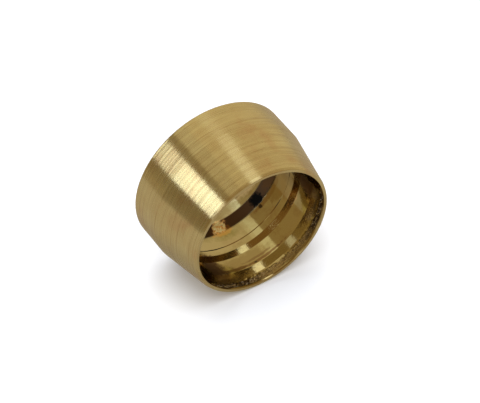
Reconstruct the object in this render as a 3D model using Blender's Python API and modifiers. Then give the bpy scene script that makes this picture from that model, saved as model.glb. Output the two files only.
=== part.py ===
"""Compression olive: a one-piece brass ring, turned from bar, that grips the end of a tube.

The big end is a parallel band, the nose is a shallow taper, and the bore steps down from a thin lip
to a shoulder that stops the tube, with a narrower hole through the big end.
Metres, +Z up. The olive stands on its big end, and the origin is the centre of that face.
"""

import math

import bpy
from mathutils import Vector

# Bore radii, each set out from the bore that grips the tube
GRIP_RADIUS = 0.0050
SHOULDER_WIDTH = 0.000625
ENTRY_STEP = 0.00024
RECESS_DEPTH = 0.00024
LIP_INSET = 0.00031

# Walls outside the bore
BAND_WALL = 0.00125
NOSE_WALL = 0.00005

# Stretches of the bore, from the big end to the mouth
HOLE_LENGTH = 0.00112
SHOULDER_LENGTH = 0.00051
GRIP_LENGTH = 0.00198
STEP_LENGTH = 0.00043
ENTRY_LENGTH = 0.0014
RECESS_CONE_LENGTH = 0.00056
RECESS_LENGTH = 0.00044
LIP_LENGTH = 0.00058
MOUTH_LENGTH = 0.00008

# The parallel band outside, and the broken edges
BAND_LENGTH = 0.00282
BAND_CHAMFER = 0.0002
HOLE_CHAMFER = 0.0001
MOUTH_BREAK = 0.00004
NOSE_BREAK_LENGTH = 0.00024
NOSE_BREAK_DEPTH = 0.00009

# A line scribed round the grip bore, measured from the shoulder's top
SCRIBE_HEIGHT = 0.00139
SCRIBE_WIDTH = 0.00008
SCRIBE_DEPTH = 0.00004

# The shoulder meets the grip bore in a fillet, left by the boring tool's nose
SHOULDER_FILLET = 0.0003
FILLET_SEGMENTS = 7

TURN_STEPS = 96
WELD_DISTANCE = 0.000001
SHARP_ANGLE = math.radians(7.0)

BRASS_COLOUR = (0.50, 0.36, 0.13, 1.0)
BRASS_ROUGHNESS = 0.3


def clear_scene():
    for old in list(bpy.data.objects):
        bpy.data.objects.remove(old)


def fillet(corner, before, after, radius, segments):
    """Points of an arc that rounds off corner, tangent to the lines to before and after."""
    to_before = (before - corner).normalized()
    to_after = (after - corner).normalized()
    half_turn = to_before.angle(to_after) / 2
    middle = (to_before + to_after).normalized()
    centre = corner + middle * (radius / math.sin(half_turn))
    start = corner + to_before * (radius / math.tan(half_turn)) - centre
    end = corner + to_after * (radius / math.tan(half_turn)) - centre
    sweep = start.angle(end)
    points = []
    for step in range(segments + 1):
        share = step / segments
        points.append(
            centre
            + start * (math.sin((1 - share) * sweep) / math.sin(sweep))
            + end * (math.sin(share * sweep) / math.sin(sweep))
        )
    return points


def outside(nose_radius, length):
    """The outer side as (radius, height), from the mouth down to the big end's face."""
    band_radius = GRIP_RADIUS + BAND_WALL
    return [
        Vector((nose_radius - NOSE_BREAK_DEPTH, length)),
        Vector((nose_radius, length - NOSE_BREAK_LENGTH)),
        Vector((band_radius, BAND_LENGTH)),
        Vector((band_radius, BAND_CHAMFER)),
        Vector((band_radius - BAND_CHAMFER, 0.0)),
    ]


def shoulder():
    """The through hole, and the sloping shoulder that stops the tube, from the big end up."""
    hole_radius = GRIP_RADIUS - SHOULDER_WIDTH
    low = Vector((hole_radius, HOLE_LENGTH))
    corner = Vector((GRIP_RADIUS, HOLE_LENGTH + SHOULDER_LENGTH))
    above = Vector((GRIP_RADIUS, corner.y + SCRIBE_HEIGHT))
    return [
        Vector((hole_radius + HOLE_CHAMFER, 0.0)),
        Vector((hole_radius, HOLE_CHAMFER)),
        low,
        *fillet(corner, low, above, SHOULDER_FILLET, FILLET_SEGMENTS),
    ]


def scribed_line():
    """A fine V cut round the grip bore."""
    height = HOLE_LENGTH + SHOULDER_LENGTH + SCRIBE_HEIGHT
    return [
        Vector((GRIP_RADIUS, height - SCRIBE_WIDTH / 2)),
        Vector((GRIP_RADIUS + SCRIBE_DEPTH, height)),
        Vector((GRIP_RADIUS, height + SCRIBE_WIDTH / 2)),
    ]


def mouth(recess_radius):
    """The step, the entry bore and the recess behind the lip, from the grip bore to the mouth."""
    entry_radius = GRIP_RADIUS + ENTRY_STEP
    lip_radius = recess_radius - LIP_INSET
    height = HOLE_LENGTH + SHOULDER_LENGTH + GRIP_LENGTH
    points = [Vector((GRIP_RADIUS, height))]
    for radius, stretch in (
        (entry_radius, STEP_LENGTH),
        (entry_radius, ENTRY_LENGTH),
        (recess_radius, RECESS_CONE_LENGTH),
        (recess_radius, RECESS_LENGTH),
        (lip_radius, LIP_LENGTH),
        (lip_radius + MOUTH_BREAK, MOUTH_LENGTH),
    ):
        height += stretch
        points.append(Vector((radius, height)))
    return points


def profile():
    """The whole section of the wall, as one closed outline in the XZ plane."""
    recess_radius = GRIP_RADIUS + ENTRY_STEP + RECESS_DEPTH
    bore = [*shoulder(), *scribed_line(), *mouth(recess_radius)]
    return [*outside(recess_radius + NOSE_WALL, bore[-1].y), *bore]


def brass():
    material = bpy.data.materials.new("satin_brass")
    material.use_nodes = True
    shader = material.node_tree.nodes["Principled BSDF"]
    shader.inputs["Base Color"].default_value = BRASS_COLOUR
    shader.inputs["Metallic"].default_value = 1.0
    shader.inputs["Roughness"].default_value = BRASS_ROUGHNESS
    return material


def turn(name, outline, collection):
    """Turns an outline round Z into a solid ring."""
    corners = [(point.x, 0.0, point.y) for point in outline]
    edges = [(i, (i + 1) % len(corners)) for i in range(len(corners))]
    mesh = bpy.data.meshes.new(name)
    mesh.from_pydata(corners, edges, [])
    ring = bpy.data.objects.new(name, mesh)
    collection.objects.link(ring)
    screw = ring.modifiers.new("turned", "SCREW")
    screw.axis = "Z"
    screw.angle = math.tau
    screw.steps = TURN_STEPS
    screw.render_steps = TURN_STEPS
    screw.use_merge_vertices = True
    screw.merge_threshold = WELD_DISTANCE
    bpy.context.view_layer.objects.active = ring
    bpy.ops.object.modifier_apply(modifier=screw.name)
    ring.data.shade_smooth()
    ring.data.set_sharp_from_angle(angle=SHARP_ANGLE)
    return ring


def main():
    clear_scene()
    collection = bpy.data.collections.new("compression_olive")
    bpy.context.scene.collection.children.link(collection)
    olive = turn("olive", profile(), collection)
    olive.data.materials.append(brass())


main()
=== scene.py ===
# %% [markdown]
# # A turned brass compression olive
#
# The real object is a ring about as wide as a fingertip, turned from brass bar in one piece.
# Outside it has a parallel band and a shallow taper, both with the satin of fine turning marks.
# Inside it is bored in steps, smooth enough to mirror the lamps, down to a shoulder that stops a
# tube. The tool left torn brass just inside the thin lip, and swarf and old oil in the corners.
#
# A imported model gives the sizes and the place. This script gives the looks: a finer copy of the
# ring, its metal, and the studio that the metal mirrors.

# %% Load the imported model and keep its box
import math

import bpy
from mathutils import Matrix, Vector


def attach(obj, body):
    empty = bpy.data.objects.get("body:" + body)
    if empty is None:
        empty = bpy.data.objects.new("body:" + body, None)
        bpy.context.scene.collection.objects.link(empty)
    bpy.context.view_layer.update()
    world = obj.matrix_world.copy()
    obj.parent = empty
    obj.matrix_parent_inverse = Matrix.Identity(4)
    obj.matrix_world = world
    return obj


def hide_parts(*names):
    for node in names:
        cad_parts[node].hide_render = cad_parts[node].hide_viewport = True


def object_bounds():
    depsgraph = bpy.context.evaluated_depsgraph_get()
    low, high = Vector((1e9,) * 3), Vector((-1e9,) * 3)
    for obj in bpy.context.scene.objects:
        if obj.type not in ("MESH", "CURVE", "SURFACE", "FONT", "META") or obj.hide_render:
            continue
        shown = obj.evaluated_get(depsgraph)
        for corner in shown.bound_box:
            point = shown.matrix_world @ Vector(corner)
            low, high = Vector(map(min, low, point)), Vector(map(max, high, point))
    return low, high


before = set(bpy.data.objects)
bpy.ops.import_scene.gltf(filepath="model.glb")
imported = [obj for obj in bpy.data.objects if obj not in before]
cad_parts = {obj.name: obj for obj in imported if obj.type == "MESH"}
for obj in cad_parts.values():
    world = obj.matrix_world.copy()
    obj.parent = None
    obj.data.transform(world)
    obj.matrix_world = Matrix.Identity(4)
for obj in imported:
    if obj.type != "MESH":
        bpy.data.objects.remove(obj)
cad_low, cad_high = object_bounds()
MM = 0.001
band_radius = cad_high.x / MM
olive_length = cad_high.z / MM
print(f"the ring is {2 * band_radius:.2f} mm across and {olive_length:.2f} mm long")

# %% [markdown]
# ## The ring as it comes off the lathe
#
# A turned part is fully told by its section: the radius at each height. The section starts at the
# outer edge of the mouth, runs down the outside, crosses the big end and comes back up the bore.
# Written as a list of corners, it can be checked against a drawing at a glance.

# %% Corners of the section, as radius and height in millimetres
MOUTH_OUTER = (5.44, olive_length)
NOSE_CORNER = (5.53, 6.86)
BAND_TOP = (band_radius, 2.82)
BAND_BREAK = (band_radius, 0.20)
FACE_OUTER = (band_radius - 0.20, 0.0)
FACE_INNER = (4.475, 0.0)
HOLE_BREAK = (4.375, 0.10)
HOLE_TOP = (4.375, 1.12)
SHOULDER_TOP = (5.00, 1.63)
SCRIBE_LOW = (5.00, 2.98)
SCRIBE_DEEP = (5.04, 3.02)
SCRIBE_HIGH = (5.00, 3.06)
STEP_LOW = (5.00, 3.61)
STEP_HIGH = (5.24, 4.04)
ENTRY_TOP = (5.24, 5.44)
RECESS_LOW = (5.48, 6.00)
RECESS_HIGH = (5.48, 6.44)
LIP_LOW = (5.165, 6.97)
MOUTH_INNER = (5.225, olive_length)

section = [
    MOUTH_OUTER,
    NOSE_CORNER,
    BAND_TOP,
    BAND_BREAK,
    FACE_OUTER,
    FACE_INNER,
    HOLE_BREAK,
    HOLE_TOP,
    SHOULDER_TOP,
    SCRIBE_LOW,
    SCRIBE_DEEP,
    SCRIBE_HIGH,
    STEP_LOW,
    STEP_HIGH,
    ENTRY_TOP,
    RECESS_LOW,
    RECESS_HIGH,
    LIP_LOW,
    MOUTH_INNER,
]
print(f"the section has {len(section)} corners")

# %% [markdown]
# A screw or a spin would sweep that section round in one go. Here the ring is built the other way,
# as a potter pulls a pot: one circle of vertices is extruded, scaled and lifted from corner to
# corner, and the last circle is bridged to the first. Each circle then lies exactly on its corner's
# radius and height, and no seam has to be welded where a sweep would meet itself. It takes 512
# vertices to a circle for the rim to look round in a close-up.

# %% Pull the ring from corner to corner
CIRCLE_VERTICES = 512

bpy.ops.object.select_all(action="DESELECT")
first_radius, first_height = section[0]
bpy.ops.mesh.primitive_circle_add(vertices=CIRCLE_VERTICES, radius=first_radius * MM)
olive = bpy.context.object
olive.name = olive.data.name = "turned_olive"
bpy.ops.object.mode_set(mode="EDIT")
bpy.ops.mesh.select_all(action="SELECT")
bpy.ops.transform.translate(value=(0, 0, first_height * MM))
for (radius, height), (next_radius, next_height) in zip(section, section[1:]):
    bpy.ops.mesh.extrude_edges_move()
    growth = next_radius / radius
    bpy.ops.transform.resize(value=(growth, growth, 1), center_override=(0, 0, height * MM))
    bpy.ops.transform.translate(value=(0, 0, (next_height - height) * MM))

bpy.ops.mesh.select_all(action="DESELECT")
bpy.ops.mesh.select_mode(type="EDGE")
bpy.ops.mesh.select_non_manifold(extend=False)
bpy.ops.mesh.bridge_edge_loops()
bpy.ops.mesh.select_all(action="SELECT")
bpy.ops.mesh.normals_make_consistent(inside=False)
bpy.ops.object.mode_set(mode="OBJECT")
print(f"the plain ring has {len(olive.data.polygons)} faces")

# %% [markdown]
# ## Broken edges
#
# No edge on turned brass is perfectly sharp: the tool and the tumbling barrel round each one by a
# few hundredths of a millimetre. That is what catches the thin bright lines along the lip and the
# steps. A bevel on chosen circles does the same. The circles are found by their place, so the
# choice doesn't depend on the order in which the vertices were made.


# %% A helper that picks edges by where their ends lie
def pick_edges(piece, wanted):
    """Selects, in edit mode, the edges whose two ends, as (radius, height) in mm, pass a test."""
    bpy.ops.object.mode_set(mode="EDIT")
    bpy.ops.mesh.select_mode(type="EDGE")
    bpy.ops.mesh.select_all(action="DESELECT")
    bpy.ops.object.mode_set(mode="OBJECT")
    places = [(v.co.xy.length / MM, v.co.z / MM) for v in piece.data.vertices]
    for edge in piece.data.edges:
        edge.select = wanted(*(places[i] for i in edge.vertices))
    bpy.ops.object.mode_set(mode="EDIT")


# %% Round the shoulder's corner, then break the other edges
SHOULDER_ROUND, SHOULDER_STEPS = 0.06, 8
EDGE_ROUND, EDGE_STEPS = 0.03, 3
PLACE_TOLERANCE = 0.004
broken = [
    MOUTH_OUTER,
    NOSE_CORNER,
    BAND_TOP,
    BAND_BREAK,
    FACE_OUTER,
    FACE_INNER,
    HOLE_BREAK,
    LIP_LOW,
    MOUTH_INNER,
]


def circle_at(corners):
    """A test for the edges that run round the ring at one of the corners."""

    def on_circle(first, last):
        near = any(math.dist(first, corner) < PLACE_TOLERANCE for corner in corners)
        return near and math.dist(first, last) < PLACE_TOLERANCE

    return on_circle


for corners, offset, segments in (
    ([SHOULDER_TOP], SHOULDER_ROUND, SHOULDER_STEPS),
    (broken, EDGE_ROUND, EDGE_STEPS),
):
    pick_edges(olive, circle_at(corners))
    bpy.ops.mesh.bevel(offset=offset * MM, offset_type="OFFSET", segments=segments, affect="EDGES")
    bpy.ops.object.mode_set(mode="OBJECT")
    print(f"{len(corners)} corner(s) rounded by {offset} mm: {len(olive.data.polygons)} faces")

# %% [markdown]
# ## The torn metal inside the lip
#
# Where the tool broke out of the bore, the brass tore instead of cutting, and it left a rough belt
# of teeth just inside the lip. Sculpting would do it, and so would loose chips. A displacement is
# simpler and stays one closed solid: the belt is cut into fine rows, each row gets a weight, and a
# hard noise then pushes the weighted vertices in and out by about a tenth of a millimetre. It is
# worst where the tool chattered, at the two sides of the bore.

# %% Cut the belt into rows
BELT_LOW, BELT_HIGH = 6.10, 6.91
BELT_CUTS = 9
BORE_LIMIT = 5.49
SHORTEST_CLIMB = 0.2
BELT_FLOOR = ENTRY_TOP[1] - 0.1


def climbs_belt(first, last):
    """True for an edge that climbs the bore inside the belt."""
    low, high = sorted((first[1], last[1]))
    climbs = high - low > SHORTEST_CLIMB and low > BELT_FLOOR
    return climbs and max(first[0], last[0]) < BORE_LIMIT


pick_edges(olive, climbs_belt)
bpy.ops.mesh.subdivide(number_cuts=BELT_CUTS)
bpy.ops.object.mode_set(mode="OBJECT")
print(f"the ring with its belt has {len(olive.data.polygons)} faces")

# %% Weigh the belt, and tear it
TEAR_HEIGHT = 0.30
TEAR_GRAIN = 0.20
TEAR_LEVEL = 0.35
FADE_IN, FADE_OUT = 0.25, 0.1
LEAST_TEAR = 0.3

torn = olive.vertex_groups.new(name="torn_belt")
for vertex in olive.data.vertices:
    radius, height = vertex.co.xy.length / MM, vertex.co.z / MM
    if radius < BORE_LIMIT and BELT_LOW < height < BELT_HIGH:
        fade = min(1.0, (height - BELT_LOW) / FADE_IN, (BELT_HIGH - height) / FADE_OUT)
        side = abs(vertex.co.x) / vertex.co.xy.length
        share = LEAST_TEAR + (1 - LEAST_TEAR) * side**2
        torn.add([vertex.index], fade * share, "REPLACE")

grain = bpy.data.textures.new("torn_grain", "CLOUDS")
grain.noise_scale = TEAR_GRAIN * MM
grain.noise_depth = 2
grain.noise_type = "HARD_NOISE"
tear = olive.modifiers.new("torn", "DISPLACE")
tear.texture = grain
tear.texture_coords = "LOCAL"
tear.vertex_group = torn.name
tear.strength = TEAR_HEIGHT * MM
tear.mid_level = TEAR_LEVEL
bpy.context.view_layer.objects.active = olive
bpy.ops.object.modifier_apply(modifier=tear.name)
print(f"{TEAR_HEIGHT} mm of torn brass, in grains of about {TEAR_GRAIN} mm")

# %% [markdown]
# The frame needs two facts about the piece. It stands for the imported solid, and it moves with the
# one body that the part has. Shading is smooth round the ring and sharp across the section's
# corners, which an angle limit gives in one call.

# %% Shade it and tell the frame
SHARP_ANGLE = 5.5
bpy.ops.object.select_all(action="DESELECT")
olive.select_set(True)
bpy.context.view_layer.objects.active = olive
bpy.ops.object.shade_smooth_by_angle(angle=math.radians(SHARP_ANGLE))
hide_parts("olive")
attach(olive, "root")
print(f"the finished ring has {len(olive.data.polygons)} faces")

# %% [markdown]
# ## Colours and nodes
#
# Colours are written as the sRGB hex values that a colour picker shows, and one function turns them
# into the linear light that Blender works in. Another adds a node with its settings and its links,
# so that a material reads from top to bottom like a recipe.


# %% Helpers for materials
def linear(hex_colour):
    """An sRGB hex colour as linear RGBA."""
    channels = [int(hex_colour[i : i + 2], 16) / 255 for i in (1, 3, 5)]
    return (*(c / 12.92 if c <= 0.04045 else ((c + 0.055) / 1.055) ** 2.4 for c in channels), 1.0)


def add_node(tree, kind, settings=None, links=None):
    """A node of one kind, with its own settings, its sockets' values and its input links."""
    node = tree.nodes.new(kind)
    for name, value in (settings or {}).items():
        if isinstance(name, str) and hasattr(node, name):
            setattr(node, name, value)
        else:
            node.inputs[name].default_value = value
    for name, source in (links or {}).items():
        tree.links.new(source, node.inputs[name])
    return node


def empty_material(name):
    """A node material with nothing in it but its output."""
    material = bpy.data.materials.new(name)
    material.use_nodes = True
    material.node_tree.nodes.clear()
    return material, add_node(material.node_tree, "ShaderNodeOutputMaterial")


print("a brass tint in linear light is", [round(c, 3) for c in linear("#E0C988")])

# %% [markdown]
# ## Satin turned brass, for the outside
#
# The outside is free-cutting brass, as the lathe left it. The tool's feed cut a very fine thread of
# grooves round it, so it mirrors the room sharply round the axis and smears it along the axis. That
# is anisotropic gloss, with its tangent running round Z. Metal has no colour apart from the tint of
# what it mirrors: a greenish gold.

# %% Turning marks
TURNED_TINT, TARNISHED_TINT, SCORED_AND_SHADED_TINT = "#E1D396", "#D0B476", "#A07A44"
BLUSHED_TINT = "#D09C74"
# A fine feed is about 0.05 mm a turn, less than a pixel here, so the marks are drawn coarser
FEED_SPACING, FEED_LENGTH = 0.26, 24.0
MARK_SPACING, MARK_LENGTH = 0.14, 9.0
SCORE_SPACING, SCORE_LENGTH = 0.13, 2.5

turned, output = empty_material("satin_turned_brass")
tree = turned.node_tree
place = add_node(tree, "ShaderNodeTexCoord")
streaks = []
for spacing, length, detail in (
    (FEED_SPACING, FEED_LENGTH, 0.0),
    (MARK_SPACING, MARK_LENGTH, 1.0),
    (SCORE_SPACING, SCORE_LENGTH, 3.0),
):
    along = add_node(
        tree,
        "ShaderNodeMapping",
        {"Scale": (1 / (length * MM), 1 / (length * MM), 1 / (spacing * MM))},
        {"Vector": place.outputs["Object"]},
    )
    noise = {"Scale": 1.0, "Detail": detail, "Roughness": 0.6}
    streaks.append(add_node(tree, "ShaderNodeTexNoise", noise, {"Vector": along.outputs[0]}))
    print(f"marks {spacing} mm apart and {length} mm long")
feed, marks, scores = (node.outputs[0] for node in streaks)

# %% [markdown]
# Old brass is not one colour. Fingers and air leave it tarnished in clouds, copper blushes through
# in places, and fine scores are darker. The deeper turning grooves are darkened too, as painted
# shade in them. A photograph of brass would bring its own light with it, so the colour is mixed
# here from noise: two broad clouds, then the two finer sets of marks.

# %% Scores, tarnish and painted shade in the grooves
CLOUD_SIZE = 2.4
lines = add_node(
    tree,
    "ShaderNodeMapRange",
    {"From Min": 0.58, "From Max": 0.78, "To Min": 0.0, "To Max": 0.5},
    {"Value": scores},
)
clouds = add_node(
    tree,
    "ShaderNodeTexNoise",
    {"Scale": 1 / (CLOUD_SIZE * MM), "Detail": 4.0, "Roughness": 0.6},
    {"Vector": place.outputs["Object"]},
)
patches = add_node(
    tree,
    "ShaderNodeMapRange",
    {"From Min": 0.35, "From Max": 0.75, "To Min": 0.0, "To Max": 0.6},
    {"Value": clouds.outputs[0]},
)
tarnished = add_node(
    tree,
    "ShaderNodeMix",
    {"data_type": "RGBA", 6: linear(TURNED_TINT), 7: linear(TARNISHED_TINT)},
    {0: patches.outputs[0]},
)
blushes = add_node(
    tree,
    "ShaderNodeMapRange",
    {"From Min": 0.56, "From Max": 0.74, "To Min": 0.0, "To Max": 0.3},
    {"Value": clouds.outputs[0]},
)
tarnished = add_node(
    tree,
    "ShaderNodeMix",
    {"data_type": "RGBA", 7: linear(BLUSHED_TINT)},
    {0: blushes.outputs[0], 6: tarnished.outputs[2]},
)
# Painted shade: the deeper turning grooves are darkened towards the score tint
grooves = add_node(
    tree,
    "ShaderNodeMapRange",
    {"From Min": 0.35, "From Max": 0.70, "To Min": 0.0, "To Max": 0.18},
    {"Value": marks},
)
groove_shaded = add_node(
    tree,
    "ShaderNodeMix",
    {"data_type": "RGBA", 7: linear(SCORED_AND_SHADED_TINT)},
    {0: grooves.outputs[0], 6: tarnished.outputs[2]},
)
tint = add_node(
    tree,
    "ShaderNodeMix",
    {"data_type": "RGBA", 7: linear(SCORED_AND_SHADED_TINT)},
    {0: lines.outputs[0], 6: groove_shaded.outputs[2]},
)
print("the outside's tint is mixed from", TURNED_TINT, TARNISHED_TINT, BLUSHED_TINT, SCORED_AND_SHADED_TINT)

# %% [markdown]
# The shader is a metal with its default index. Its gloss is stretched across the turning marks by
# an anisotropy of 1 on a tangent that runs round Z. The marks also tilt the surface a little. Only
# a hundredth of a millimetre is needed, because a mirror doubles each tilt, and any more would
# fray the crisp edges of the highlights.

# %% The outside's shader
TURNED_ROUGHNESS, ROUGHNESS_SPREAD = 0.27, 0.04
MARK_DEPTH, FEED_DEPTH = 0.012, 0.024
rough = add_node(
    tree,
    "ShaderNodeMapRange",
    {"To Min": TURNED_ROUGHNESS - ROUGHNESS_SPREAD, "To Max": TURNED_ROUGHNESS + ROUGHNESS_SPREAD},
    {"Value": marks},
)
bump = add_node(
    tree, "ShaderNodeBump", {"Strength": 1.0, "Distance": MARK_DEPTH * MM}, {"Height": marks}
)
bump = add_node(
    tree,
    "ShaderNodeBump",
    {"Strength": 1.0, "Distance": FEED_DEPTH * MM},
    {"Height": feed, "Normal": bump.outputs[0]},
)
tangent = add_node(tree, "ShaderNodeTangent", {"direction_type": "RADIAL", "axis": "Z"})
shader = add_node(
    tree,
    "ShaderNodeBsdfPrincipled",
    {"Metallic": 1.0, "Anisotropic": 1.0, "Anisotropic Rotation": 0.25},
    {
        "Base Color": tint.outputs[2],
        "Roughness": rough.outputs[0],
        "Normal": bump.outputs[0],
        "Tangent": tangent.outputs[0],
    },
)
tree.links.new(shader.outputs[0], output.inputs[0])
print(f"{turned.name}: roughness about {TURNED_ROUGHNESS}, {len(tree.nodes)} nodes")

# %% [markdown]
# ## Bored brass, for the inside
#
# A boring bar leaves a smoother wall than the tool outside, so the bore mirrors its lamps as small
# crisp patches. Cutting oil has tanned it in clouds. One material serves the whole bore: a ramp
# along Z gives each stretch its tint, from the hole to the lip. Those tints are partly painted
# light: they set how bright each stretch looks, which comes from what it mirrors and from bounces
# inside the bore. Separate materials for each step would show a seam where the oil runs across.

# %% The tint from the hole to the lip, partly painted light
OILED_TINT = "#9F8450"
OIL_CLOUD_SIZE = 1.4
bored, output = empty_material("bored_brass")
tree = bored.node_tree
place = add_node(tree, "ShaderNodeTexCoord")
clouds = add_node(
    tree,
    "ShaderNodeTexNoise",
    {"Scale": 1 / (OIL_CLOUD_SIZE * MM), "Detail": 5.0, "Roughness": 0.65},
    {"Vector": place.outputs["Object"]},
)
stain = add_node(
    tree,
    "ShaderNodeMapRange",
    {"From Min": 0.48, "From Max": 0.78, "To Max": 0.8},
    {"Value": clouds.outputs[0]},
)
axes = add_node(tree, "ShaderNodeSeparateXYZ", {}, {"Vector": place.outputs["Object"]})
depth = add_node(
    tree,
    "ShaderNodeMapRange",
    {"From Min": 0.0, "From Max": olive_length * MM},
    {"Value": axes.outputs["Z"]},
)
ramp = add_node(tree, "ShaderNodeValToRGB", {}, {"Fac": depth.outputs[0]})
# Partly painted light: each stop sets how bright a stretch of bore looks
tint_and_light_stops = (
    (0.00, "#C2B98A"),
    (0.17, "#C2B98A"),
    (0.24, "#B0A26C"),
    (0.50, "#B6A66E"),
    (0.58, "#B6A66C"),
    (0.90, "#BAA66C"),
)
for index, (stop, hex_colour) in enumerate(tint_and_light_stops):
    if index > 1:
        ramp.color_ramp.elements.new(stop)
    ramp.color_ramp.elements[index].position = stop
    ramp.color_ramp.elements[index].color = linear(hex_colour)
tint = add_node(
    tree,
    "ShaderNodeMix",
    {"data_type": "RGBA", 7: linear(OILED_TINT)},
    {0: stain.outputs[0], 6: ramp.outputs[0]},
)
print(f"{len(tint_and_light_stops)} tints along {olive_length:.2f} mm of bore")

# %% [markdown]
# The boring marks are finer than a pixel, so they only soften the mirror a little. On the two
# cones the bar chattered and left ripples. A ramp with constant steps switches that ripple on
# between the heights where each cone starts and ends, and the same ramp dulls the cones.

# %% Boring marks and chatter
BORING_SPACING, BORING_LENGTH, BORING_DEPTH = 0.08, 1.5, 0.002
CHATTER_GRAIN, CHATTER_DEPTH = 0.2, 0.012
SMOOTH_CUT, ROUGH_CUT = 0.15, 0.4
rings = add_node(
    tree,
    "ShaderNodeMapping",
    {"Scale": [1 / (size * MM) for size in (BORING_LENGTH, BORING_LENGTH, BORING_SPACING)]},
    {"Vector": place.outputs["Object"]},
)
scores = add_node(
    tree,
    "ShaderNodeTexNoise",
    {"Scale": 1.0, "Detail": 3.0, "Roughness": 0.6},
    {"Vector": rings.outputs[0]},
)
bump = add_node(
    tree,
    "ShaderNodeBump",
    {"Strength": 0.3, "Distance": BORING_DEPTH * MM},
    {"Height": scores.outputs[0]},
)
rough_cut = add_node(tree, "ShaderNodeValToRGB", {}, {"Fac": depth.outputs[0]})
rough_cut.color_ramp.interpolation = "CONSTANT"
cuts = (
    (0.0, SMOOTH_CUT),
    (STEP_LOW[1], ROUGH_CUT),
    (STEP_HIGH[1], SMOOTH_CUT),
    (ENTRY_TOP[1], ROUGH_CUT),
)
for index, (height, share) in enumerate(cuts):
    if index > 1:
        rough_cut.color_ramp.elements.new(height / olive_length)
    rough_cut.color_ramp.elements[index].position = height / olive_length
    rough_cut.color_ramp.elements[index].color = (share, share, share, 1.0)
chatter = add_node(
    tree,
    "ShaderNodeTexNoise",
    {"Scale": 1 / (CHATTER_GRAIN * MM), "Detail": 2.0, "Roughness": 0.6},
    {"Vector": place.outputs["Object"]},
)
bump = add_node(
    tree,
    "ShaderNodeBump",
    {"Distance": CHATTER_DEPTH * MM},
    {
        "Height": chatter.outputs[0],
        "Strength": rough_cut.outputs[0],
        "Normal": bump.outputs[0],
    },
)
print(f"chatter between {STEP_LOW[1]} and {STEP_HIGH[1]} mm, and above {ENTRY_TOP[1]} mm")

# %% [markdown]
# Burnt oil sits on the shoulder, which is the ledge that stops the tube. Two soft thresholds on the
# height, multiplied, make a ring of dirt there. Their edges lie just outside the ledge.

# %% Burnt oil on the shoulder
BURNT_TINT = "#6A5A48"
edges = []
for clean, burnt in ((1.04, 1.16), (1.80, 1.58)):
    edges.append(
        add_node(
            tree,
            "ShaderNodeMapRange",
            {
                "interpolation_type": "SMOOTHSTEP",
                "From Min": clean * MM,
                "From Max": burnt * MM,
            },
            {"Value": axes.outputs["Z"]},
        )
    )
ledge = add_node(
    tree,
    "ShaderNodeMath",
    {"operation": "MULTIPLY"},
    {0: edges[0].outputs[0], 1: edges[1].outputs[0]},
)
dirty = add_node(
    tree,
    "ShaderNodeMix",
    {"data_type": "RGBA", 7: linear(BURNT_TINT)},
    {0: ledge.outputs[0], 6: tint.outputs[2]},
)
print(f"burnt oil between {HOLE_TOP[1]} and {SHOULDER_TOP[1]} mm")

# %% [markdown]
# ## Stains
#
# The bore carries stains of its own: oil at both sides, films, soot on the shoulder and dirt along
# the edges. They could be painted on an image, but then the script would carry a picture. Here each
# stain is one row: where it is, as a bearing round the ring and a height, its half sizes, its
# colour, how strong it is and how much it dulls. A Mapping node turns each place into the centre
# of a unit ball, a noise makes the ball's edge ragged, and its inside is mixed into the colour.

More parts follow.
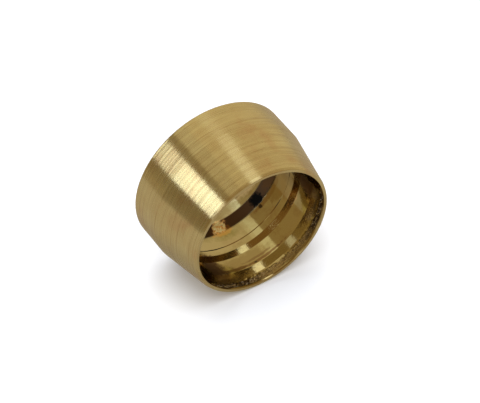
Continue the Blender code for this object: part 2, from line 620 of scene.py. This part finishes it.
# %% Stains, each at its own place
STAIN_RADIUS, STAIN_DEPTH = 5.0, 1.5
STAIN_OUTSIDE, STAIN_INSIDE = 1.1, 0.7
GRIT_SIZE, RAGGEDNESS = 0.35, 0.8
grit = add_node(
    tree,
    "ShaderNodeTexNoise",
    {"Scale": 1 / (GRIT_SIZE * MM), "Detail": 4.0, "Roughness": 0.7},
    {"Vector": place.outputs["Object"]},
)
ragged = add_node(
    tree,
    "ShaderNodeVectorMath",
    {"operation": "MULTIPLY_ADD", 1: [2 * RAGGEDNESS] * 3, 2: [-RAGGEDNESS] * 3},
    {0: grit.outputs[1]},
)
stains = (
    ("oil at the left", 34, 4.9, 0.9, 1.5, "#64432A", 0.85, 1.0),
    ("oil at the right", 151, 4.9, 0.9, 1.4, "#765234", 0.85, 1.0),
    ("brown streak", 74, 4.95, 1.3, 0.12, "#7E5232", 0.6, 0.3),
    ("dirt above the entry bore", 76, 5.27, 2.2, 0.13, "#80582E", 0.75, 0.3),
    ("smudge by the shoulder", 116, 1.90, 2.0, 0.24, "#8E6C38", 0.7, 0.0),
    ("black speck", 70, 5.28, 0.12, 0.09, "#141210", 0.9, 0.0),
    ("green film", 64, 2.2, 1.0, 0.40, "#8F8440", 0.6, 0.0),
    ("soot on the shoulder", 105, 1.42, 0.62, 0.34, "#1C2024", 1.0, 0.5),
    ("brown film on the shoulder", 126, 1.42, 0.9, 0.34, "#7A6040", 0.8, 0.5),
    ("drop of soot", 103, 1.92, 0.18, 0.20, "#3A2C1C", 0.9, 0.0),
    ("brown film above the shoulder", 130, 2.35, 1.7, 0.75, "#94793A", 0.6, 0.0),
    ("film at the left of the entry bore", 64, 4.75, 2.3, 0.66, "#96804A", 0.5, 0.0),
    ("bare brass in the grip bore", 52, 2.75, 2.6, 0.8, "#D6C68E", 0.3, 0.0),
    ("dirt at the left of the recess", 50, 5.22, 1.3, 0.16, "#7A5A2A", 0.8, 0.3),
    ("bright cut at the left", 40, 5.8, 1.2, 0.42, "#E8D090", 0.5, 0.3),
    ("bright cut at the right", 137, 5.8, 1.6, 0.42, "#E8D090", 0.5, 0.3),
    ("grime in the recess, left", 37, 6.05, 1.3, 0.3, "#4E3A1A", 0.6, 0.4),
    ("grime in the recess, right", 142, 6.05, 1.3, 0.3, "#4E3A1A", 0.6, 0.4),
    ("film on the left of the hole", 68, 0.5, 2.2, 0.6, "#9A8A5C", 0.5, 0.0),
    ("bare brass on the right of the hole", 112, 0.35, 2.0, 0.5, "#EEE6C8", 0.8, 0.0),
    ("dirt in the scribed line, left", 42, 3.02, 1.3, 0.06, "#30200C", 0.9, 0.0),
    ("dirt in the scribed line, right", 116, 3.02, 0.5, 0.05, "#4A3418", 0.7, 0.0),
    ("copper blush on the step", 129, 3.85, 0.9, 0.3, "#F0C080", 0.45, 0.0),
    ("warm film at the right of the bore", 138, 2.9, 1.3, 1.0, "#A88A48", 0.5, 0.0),
    # The last two rows are painted light: a glow and orange crumbs where bounced lamp light falls
    ("glow round the crumbs", 64, 1.75, 0.9, 0.32, "#E0A848", 0.5, 0.3),
    ("orange crumbs", 62.5, 1.36, 0.6, 0.36, "#FFB860", 1.0, 1.0),
)
dull_cones = add_node(
    tree,
    "ShaderNodeMath",
    {"operation": "MULTIPLY_ADD", 1: 0.3},
    {0: rough_cut.outputs[0], 2: ledge.outputs[0]},
)
colour, dull = dirty.outputs[2], dull_cones.outputs[0]
for name, bearing, height, half_width, half_height, hex_colour, most, dulls in stains:
    turn = math.radians(bearing)
    centre = Vector((STAIN_RADIUS * math.cos(turn), STAIN_RADIUS * math.sin(turn), height)) * MM
    around = add_node(
        tree,
        "ShaderNodeMapping",
        {
            "vector_type": "TEXTURE",
            "Location": centre,
            "Rotation": (0, 0, turn),
            "Scale": (STAIN_DEPTH * MM, half_width * MM, half_height * MM),
        },
        {"Vector": place.outputs["Object"]},
    )
    uneven = add_node(
        tree,
        "ShaderNodeVectorMath",
        {"operation": "ADD"},
        {0: around.outputs[0], 1: ragged.outputs[0]},
    )
    reach = add_node(
        tree, "ShaderNodeVectorMath", {"operation": "LENGTH"}, {0: uneven.outputs[0]}
    )
    share = add_node(
        tree,
        "ShaderNodeMapRange",
        {"From Min": STAIN_OUTSIDE, "From Max": STAIN_INSIDE, "To Max": most},
        {"Value": reach.outputs["Value"]},
    )
    share.label = name
    colour = add_node(
        tree,
        "ShaderNodeMix",
        {"data_type": "RGBA", 7: linear(hex_colour)},
        {0: share.outputs[0], 6: colour},
    ).outputs[2]
    dull = add_node(
        tree,
        "ShaderNodeMath",
        {"operation": "MULTIPLY_ADD", "use_clamp": True, 1: dulls},
        {0: share.outputs[0], 2: dull},
    ).outputs[0]
print(f"{len(stains)} stains in the bore")
granules = share

# %% [markdown]
# ## Copper crumbs, coloured with painted light
#
# The last stain is a cluster of loose granules on the shoulder, like crumbs of copper oxide. They
# are not metal: they scatter light. Their bright orange and pale yellow are painted light, a spot
# of lamp light bounced onto the shoulder, so the patch glows orange where the brass beside it goes
# dark. Modelled grains would be a thousand specks for a patch half a millimetre wide. A coarse
# noise is enough for it, once for the two colours and once for a steep bump.

# %% Granules on the copper patch, in painted light colours
CRUMB_SIZE, CRUMB_DEPTH = 0.16, 0.3
# Both crumb colours are painted light: a brighter and a dimmer tone of the bounced lamp spot
CRUMB_PAINTED_DIM, CRUMB_PAINTED_GLOW = "#F09A2C", "#FFE08C"
crumbs = add_node(
    tree,
    "ShaderNodeTexNoise",
    {"Scale": 1 / (CRUMB_SIZE * MM), "Detail": 2.0, "Roughness": 0.6},
    {"Vector": place.outputs["Object"]},
)
crumb_glow_share = add_node(
    tree,
    "ShaderNodeMapRange",
    {"From Min": 0.34, "From Max": 0.54},
    {"Value": crumbs.outputs[0]},
)
painted_crumb_glow = add_node(
    tree,
    "ShaderNodeMix",
    {"data_type": "RGBA", 6: linear(CRUMB_PAINTED_DIM), 7: linear(CRUMB_PAINTED_GLOW)},
    {0: crumb_glow_share.outputs[0]},
)
colour = add_node(
    tree,
    "ShaderNodeMix",
    {"data_type": "RGBA"},
    {0: granules.outputs[0], 6: colour, 7: painted_crumb_glow.outputs[2]},
).outputs[2]
bump = add_node(
    tree,
    "ShaderNodeBump",
    {"Distance": CRUMB_DEPTH * MM},
    {"Height": crumbs.outputs[0], "Normal": bump.outputs[0], "Strength": granules.outputs[0]},
)
print("the crumbs take the place of the stain named", granules.label)

# %% [markdown]
# All of it meets in one shader. Clean wall is nearly a mirror, and dirt makes it duller. Metallic
# drops to nothing only under the crumbs.

# %% The bore's shader
CLEAN_ROUGHNESS, DIRTY_ROUGHNESS = 0.08, 0.4
rough = add_node(
    tree,
    "ShaderNodeMapRange",
    {"To Min": CLEAN_ROUGHNESS, "To Max": DIRTY_ROUGHNESS},
    {"Value": dull},
)
bare = add_node(
    tree, "ShaderNodeMath", {"operation": "SUBTRACT", 0: 1.0}, {1: granules.outputs[0]}
)
shader = add_node(
    tree,
    "ShaderNodeBsdfPrincipled",
    {},
    {
        "Base Color": colour,
        "Metallic": bare.outputs[0],
        "Roughness": rough.outputs[0],
        "Normal": bump.outputs[0],
    },
)
tree.links.new(shader.outputs[0], output.inputs[0])
print(f"{bored.name}: {len(tree.nodes)} nodes")

# %% [markdown]
# ## Torn brass, for the belt inside the lip
#
# The displaced belt has teeth of a fifth of a millimetre. Between them the light dies, and on them
# it glints, so the finish has steep little facets and a colour that paints the same: a dark tint
# as painted shade where the teeth are low, and the brass tint where they are high. At the two
# sides the belt is full of old oil, and the tips of the teeth there get a near-white painted glint.
# That is a second pair of tints, brought in with the distance from the plane X = 0.

# %% Torn brass
# The dark torn tint is painted shade between the teeth, and the tip tint is a painted glint on them
TORN_TINT, TORN_SHADE_TINT = "#DEC68C", "#7A5A28"
TIP_GLINT_TINT, GRIME_TINT = "#FFF6E0", "#4E3614"
TOOTH_SIZE, TOOTH_DEPTH = 0.2, 0.09
GRIME_FROM, GRIME_FULL = 1.6, 3.2
torn_brass, output = empty_material("torn_brass")
tree = torn_brass.node_tree
place = add_node(tree, "ShaderNodeTexCoord")
teeth = add_node(
    tree,
    "ShaderNodeTexNoise",
    {"Scale": 1 / (TOOTH_SIZE * MM), "Detail": 4.0, "Roughness": 0.7},
    {"Vector": place.outputs["Object"]},
)
axes = add_node(tree, "ShaderNodeSeparateXYZ", {}, {"Vector": place.outputs["Object"]})
sideways = add_node(
    tree, "ShaderNodeMath", {"operation": "ABSOLUTE"}, {0: axes.outputs["X"]}
)
grime = add_node(
    tree,
    "ShaderNodeMapRange",
    {"From Min": GRIME_FROM * MM, "From Max": GRIME_FULL * MM, "To Min": 0.0, "To Max": 0.95},
    {"Value": sideways.outputs[0]},
)
# Painted shade: the low parts of the teeth get the dark tint
teeth_shade = add_node(
    tree,
    "ShaderNodeMapRange",
    {"From Min": 0.28, "From Max": 0.52},
    {"Value": teeth.outputs[0]},
)
# Painted glints: the highest parts of the teeth get the near-white tip tint
tip_glints = add_node(
    tree,
    "ShaderNodeMapRange",
    {"From Min": 0.52, "From Max": 0.66},
    {"Value": teeth.outputs[0]},
)
torn_tint = add_node(
    tree,
    "ShaderNodeMix",
    {"data_type": "RGBA", 6: linear(TORN_SHADE_TINT), 7: linear(TORN_TINT)},
    {0: teeth_shade.outputs[0]},
)
grime_and_glints = add_node(
    tree,
    "ShaderNodeMix",
    {"data_type": "RGBA", 6: linear(GRIME_TINT), 7: linear(TIP_GLINT_TINT)},
    {0: tip_glints.outputs[0]},
)
tint = add_node(
    tree,
    "ShaderNodeMix",
    {"data_type": "RGBA"},
    {0: grime.outputs[0], 6: torn_tint.outputs[2], 7: grime_and_glints.outputs[2]},
)
bump = add_node(
    tree,
    "ShaderNodeBump",
    {"Strength": 1.0, "Distance": TOOTH_DEPTH * MM},
    {"Height": teeth.outputs[0]},
)
shader = add_node(
    tree,
    "ShaderNodeBsdfPrincipled",
    {"Metallic": 1.0, "Roughness": 0.2},
    {"Base Color": tint.outputs[2], "Normal": bump.outputs[0]},
)
tree.links.new(shader.outputs[0], output.inputs[0])
print(f"{torn_brass.name}: {len(tree.nodes)} nodes")

# %% [markdown]
# ## One piece, three finishes
#
# It is still one piece of brass, so the finishes are three material slots on one mesh. Each face is
# told apart by its middle: more than a tenth of a millimetre inside the outer skin it belongs to
# the bore, and in the belt's heights to the torn metal.

# %% Give each face its finish
SKIN_THICKNESS = 0.11
FACE_MARGIN, RIM_MARGIN = 0.01, 0.02
TORN_LOW, TORN_HIGH = 6.2, 6.9
for material in (turned, bored, torn_brass):
    olive.data.materials.append(material)
counts = [0, 0, 0]
for face in olive.data.polygons:
    radius, height = face.center.xy.length / MM, face.center.z / MM
    taper = (height - BAND_TOP[1]) / (NOSE_CORNER[1] - BAND_TOP[1])
    skin = BAND_TOP[0] - max(0.0, taper) * (BAND_TOP[0] - NOSE_CORNER[0])
    between_faces = FACE_MARGIN < height < olive_length - RIM_MARGIN
    in_bore = radius < skin - SKIN_THICKNESS and between_faces
    in_belt = in_bore and TORN_LOW < height < TORN_HIGH
    face.material_index = 2 if in_belt else 1 if in_bore else 0
    counts[face.material_index] += 1
print("faces turned, bored and torn:", counts)

# %% [markdown]
# ## The camera
#
# The photograph looks into the mouth from above and to one side, with the ring lying on its taper.
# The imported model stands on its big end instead, and its pieces may not be moved. So the camera
# turns: it looks down at the standing ring and rolls until the ring lies as in the photograph. A
# long lens from about 17 cm away gives the same slight perspective.


# %% Camera
def heading(bearing, rise):
    """The direction at a bearing in degrees, anticlockwise from +X, and a rise above level."""
    turn, up = math.radians(bearing), math.radians(rise)
    return Vector((math.cos(turn) * math.cos(up), math.sin(turn) * math.cos(up), math.sin(up)))


AIM = Vector((-0.22278, 1.82582, 2.56074)) * MM
CAMERA_DISTANCE = 167.3029 * MM
CAMERA_BEARING = -90
CAMERA_RISE = 35.4890
CAMERA_ROLL = 138.5773
LENS = 174.7696
camera_data = bpy.data.cameras.new("camera")
camera_data.lens = LENS
camera_data.clip_start = 10 * MM
camera_data.clip_end = 2000 * MM
camera = bpy.data.objects.new("camera", camera_data)
bpy.context.scene.collection.objects.link(camera)
back = heading(CAMERA_BEARING, CAMERA_RISE)
camera.matrix_world = (
    Matrix.Translation(AIM + back * CAMERA_DISTANCE)
    @ back.to_track_quat("Z", "Y").to_matrix().to_4x4()
    @ Matrix.Rotation(math.radians(CAMERA_ROLL), 4, "Z")
)
bpy.context.scene.camera = camera
print(f"the camera is {CAMERA_DISTANCE / MM:.0f} mm away, {CAMERA_RISE:.1f} degrees up")

# %% [markdown]
# ## The floor
#
# For such a camera the floor isn't level either. It is the sheet of white paper that touches the
# taper along one line, at the bearing where the ring rests. Its slant is the taper's own. To the
# camera and the metal the paper is pure white. To the light that it passes on, it is plain paper, a
# little grey. It still takes the ring's shadow. From behind it is clear, so the ring can be seen
# from any side.

# %% Floor
REST_BEARING = 62.0
FLOOR_SIZE, FLOOR_GAP = 130, 0.06
PAPER_WHITE, PAPER_GREY = "#FFFFFF", "#BDB7AE"
half_angle = math.atan2(BAND_TOP[0] - NOSE_CORNER[0], NOSE_CORNER[1] - BAND_TOP[1])
floor_up = -heading(REST_BEARING, math.degrees(half_angle))
contact = heading(REST_BEARING, 0) * BAND_TOP[0] * MM + Vector((0, 0, BAND_TOP[1] * MM))
floor_turn = floor_up.to_track_quat("Z", "Y").to_euler()


def sheet(name, size, gap):
    """A square sheet under the resting olive, gap millimetres below its side."""
    bpy.ops.object.select_all(action="DESELECT")
    bpy.ops.mesh.primitive_plane_add(
        size=size * MM, location=contact - floor_up * gap * MM, rotation=floor_turn
    )
    paper = bpy.context.object
    paper.name = paper.data.name = name
    return paper


floor = sheet("floor", FLOOR_SIZE, FLOOR_GAP)
white_paper, output = empty_material("white_paper")
tree = white_paper.node_tree
path = add_node(tree, "ShaderNodeLightPath")
mirrored = add_node(
    tree,
    "ShaderNodeMath",
    {"operation": "MAXIMUM"},
    {0: path.outputs["Is Glossy Ray"], 1: path.outputs["Is Transmission Ray"]},
)
seen = add_node(
    tree,
    "ShaderNodeMath",
    {"operation": "MAXIMUM"},
    {0: path.outputs["Is Camera Ray"], 1: mirrored.outputs[0]},
)
paper_colour = add_node(
    tree,
    "ShaderNodeMix",
    {"data_type": "RGBA", 6: linear(PAPER_GREY), 7: linear(PAPER_WHITE)},
    {0: seen.outputs[0]},
)
diffuse = add_node(tree, "ShaderNodeBsdfDiffuse", {}, {"Color": paper_colour.outputs[2]})
clear = add_node(tree, "ShaderNodeBsdfTransparent")
geometry = add_node(tree, "ShaderNodeNewGeometry")
one_sided = add_node(
    tree,
    "ShaderNodeMixShader",
    {},
    {0: geometry.outputs["Backfacing"], 1: diffuse.outputs[0], 2: clear.outputs[0]},
)
tree.links.new(one_sided.outputs[0], output.inputs[0])
floor.data.materials.append(white_paper)
print(f"the floor leans {90 - math.degrees(half_angle):.1f} degrees and touches at {REST_BEARING}")

# %% [markdown]
# ## What the metal mirrors
#
# Polished metal shows its surroundings more than itself. A photographer lights it with cards and a
# tent, and so does this scene. The cards glow, and only the metal sees them: they are hidden from
# the camera, from shadows and from dull surfaces. The first is the floor as the metal should see
# it, dimmer close to the ring, where the ring shades the paper.


# %% Glowing cards, for the metal's mirror only
def glow(name, hex_colour, strength, sampled=False):
    """A light that shines from the front of a card."""
    material, output = empty_material(name)
    tree = material.node_tree
    light = add_node(
        tree, "ShaderNodeEmission", {"Color": linear(hex_colour), "Strength": strength}
    )
    clear = add_node(tree, "ShaderNodeBsdfTransparent")
    geometry = add_node(tree, "ShaderNodeNewGeometry")
    one_sided = add_node(
        tree,
        "ShaderNodeMixShader",
        {},
        {0: geometry.outputs["Backfacing"], 1: light.outputs[0], 2: clear.outputs[0]},
    )
    tree.links.new(one_sided.outputs[0], output.inputs[0])
    material.cycles.emission_sampling = "AUTO" if sampled else "NONE"
    return material


def mirror_only(card):
    """Lets only the metal see a card."""
    card.visible_camera = False
    card.visible_shadow = False
    card.visible_diffuse = False


CARD_SIZE, CARD_GAP = 600, 0.03
NEAR_REACH, NEAR_GLOW = 5, 0.36
FAR_REACH, FAR_GLOW = 13, 0.53
bounce = sheet("bounce_card", CARD_SIZE, CARD_GAP)
mirror_only(bounce)
bounce_light = glow("bounce_card", "#FFF0E3", FAR_GLOW)
tree = bounce_light.node_tree
place = add_node(tree, "ShaderNodeTexCoord")
from_contact = add_node(
    tree, "ShaderNodeVectorMath", {"operation": "LENGTH"}, {0: place.outputs["Object"]}
)
shaded = add_node(
    tree,
    "ShaderNodeMapRange",
    {
        "From Min": NEAR_REACH * MM,
        "From Max": FAR_REACH * MM,
        "To Min": NEAR_GLOW,
        "To Max": FAR_GLOW,
    },
    {"Value": from_contact.outputs["Value"]},
)
tree.links.new(shaded.outputs[0], tree.nodes["Emission"].inputs["Strength"])
bounce.data.materials.append(bounce_light)
print("the bounce card is the floor, as the metal sees it")

# %% [markdown]
# The tent is a sphere round the ring, seen from inside. Each of its faces belongs to the first zone
# of the list that holds its bearing and rise. A cylinder mirrors a narrow upright lamp as one long
# stripe, so the key lamp between bearings 283 and 309 gives the bright band along the outside. Its
# dark neighbours give the band its edges. The rest are walls of a warm room, each a little
# brighter or dimmer, and the plateaus of the outside and of the bore are their mirror images.

# %% The tent
TENT_RADIUS = 170
SEGMENTS, RINGS = 360, 180
bpy.ops.object.select_all(action="DESELECT")
bpy.ops.mesh.primitive_uv_sphere_add(segments=SEGMENTS, ring_count=RINGS, radius=TENT_RADIUS * MM)
tent = bpy.context.object
tent.name = tent.data.name = "light_tent"
bpy.ops.object.mode_set(mode="EDIT")
bpy.ops.mesh.select_all(action="SELECT")
bpy.ops.mesh.normals_make_consistent(inside=True)
bpy.ops.object.mode_set(mode="OBJECT")
mirror_only(tent)

WARM, DARK = "#FFEDD2", "#FFC57E"
zones = [
    ("key_lamp", (283, 309), (-21, -4), "#D6E2FF", 4.8),
    ("key_low_lamp", (283, 309), (-26, -21), "#FFF0DA", 2.4),
    ("key_fade_lamp", (285, 298), (-4, 17), "#F6F8FF", 0.9),
    ("side_lamp", (221, 237), (19, 32), "#FAFBFF", 1.6),
    ("side_low_lamp", (224, 239), (1, 19), "#F2F5FF", 1.8),
    ("near_low_wall", (257, 272), (-40, -30), "#FFFBF0", 0.95),
    ("near_fade_wall", (250, 257), (-40, -30), "#FFF4E0", 0.84),
    ("rim_lamp", (283, 300), (28, 44), "#FFFFFF", 1.6),
    ("left_low_wall", (338, 364), (-28, -4), WARM, 0.84),
    ("high_wall", (0, 360), (4, 19), "#FFDD9B", 0.31),
    ("low_wall", (272, 380), (-41, -28), "#FFE0AE", 0.43),
    ("near_wall", (254, 272), (-90, 4), WARM, 0.56),
    ("right_wall", (150, 254), (-90, 4), WARM, 0.71),
    ("far_wall", (80, 150), (-90, 4), "#FFF0E3", 0.46),
    ("near_gap", (272, 283), (-90, 4), WARM, 0.30),
    ("gap", (283, 338), (-90, 4), WARM, 0.19),
    ("left_wall", (338, 375), (-90, 4), WARM, 0.72),
    ("dim_wall", (375, 440), (-90, 4), "#FFF4EE", 0.42),
    ("dark_room", (0, 360), (-90, 90), DARK, 0.28),
]
for name, _, _, hex_colour, strength in zones:
    tent.data.materials.append(glow(name, hex_colour, strength, sampled=name.endswith("lamp")))
for face in tent.data.polygons:
    toward = face.center.normalized()
    bearing = math.degrees(math.atan2(toward.y, toward.x)) % 360
    rise = math.degrees(math.asin(toward.z))
    for index, (_, (first, last), (low, high), _, _) in enumerate(zones):
        turned_in = any(first <= turn < last for turn in (bearing, bearing + 360))
        if turned_in and low <= rise < high:
            face.material_index = index
            break
print(f"a tent of {TENT_RADIUS} mm with {len(zones)} zones")

# %% [markdown]
# ## Lamps for the shadow
#
# The cards light no dull surface, so four real lamps light the paper. They are wide and near, which
# makes the shadow soft, and they stand over the ring, behind it and in front of its mouth. The
# metal doesn't see them. The one behind is weak, because it shines a little through the bore, and
# more of it would leave a bright hole in the shadow.

# %% Lamps for the floor
LAMP_SIZE, LAMP_DISTANCE = 200, 200
for name, bearing, rise, power in (
    ("overhead_softbox", 242, -10, 0.14),
    ("back_softbox", 232, -38, 0.12),
    ("front_softbox", 256, 16, 0.20),
    ("front_high_softbox", 250, 48, 0.08),
):
    lamp_data = bpy.data.lights.new(name, "AREA")
    lamp_data.size = LAMP_SIZE * MM
    lamp_data.energy = power
    lamp = bpy.data.objects.new(name, lamp_data)
    bpy.context.scene.collection.objects.link(lamp)
    toward = heading(bearing, rise)
    lamp.location = toward * LAMP_DISTANCE * MM
    lamp.rotation_euler = toward.to_track_quat("Z", "Y").to_euler()
    lamp.visible_camera = False
    lamp.visible_glossy = False
    print(f"{name}: {power} W from bearing {bearing}, rise {rise}")

# %% [markdown]
# ## The room
#
# The background of the photograph is white. The world is therefore white at a strength of 1 to the
# camera, to mirrors and to clear things, and a weaker, slightly blue light to all that is dull.
# It fills the shadow. The view transform is Standard, so a colour comes out as it was written.

# %% World
ROOM_LIGHT = 0.55
ROOM_TINT, ROOM_WHITE = "#EEF3FF", "#FFFFFF"
world = bpy.data.worlds.new("white_room")
bpy.context.scene.world = world
world.use_nodes = True
tree = world.node_tree
tree.nodes.clear()
path = add_node(tree, "ShaderNodeLightPath")
mirrored = add_node(
    tree,
    "ShaderNodeMath",
    {"operation": "MAXIMUM"},
    {0: path.outputs["Is Glossy Ray"], 1: path.outputs["Is Transmission Ray"]},
)
seen = add_node(
    tree,
    "ShaderNodeMath",
    {"operation": "MAXIMUM"},
    {0: path.outputs["Is Camera Ray"], 1: mirrored.outputs[0]},
)
strength = add_node(
    tree, "ShaderNodeMapRange", {"To Min": ROOM_LIGHT, "To Max": 1.0}, {"Value": seen.outputs[0]}
)
daylight = add_node(
    tree,
    "ShaderNodeMix",
    {"data_type": "RGBA", 6: linear(ROOM_TINT), 7: linear(ROOM_WHITE)},
    {0: seen.outputs[0]},
)
sky = add_node(
    tree,
    "ShaderNodeBackground",
    {},
    {"Color": daylight.outputs[2], "Strength": strength.outputs[0]},
)
add_node(tree, "ShaderNodeOutputWorld", {}, {"Surface": sky.outputs[0]})
bpy.context.scene.view_settings.view_transform = "Standard"
print(f"room light {ROOM_LIGHT}, and white to the camera")
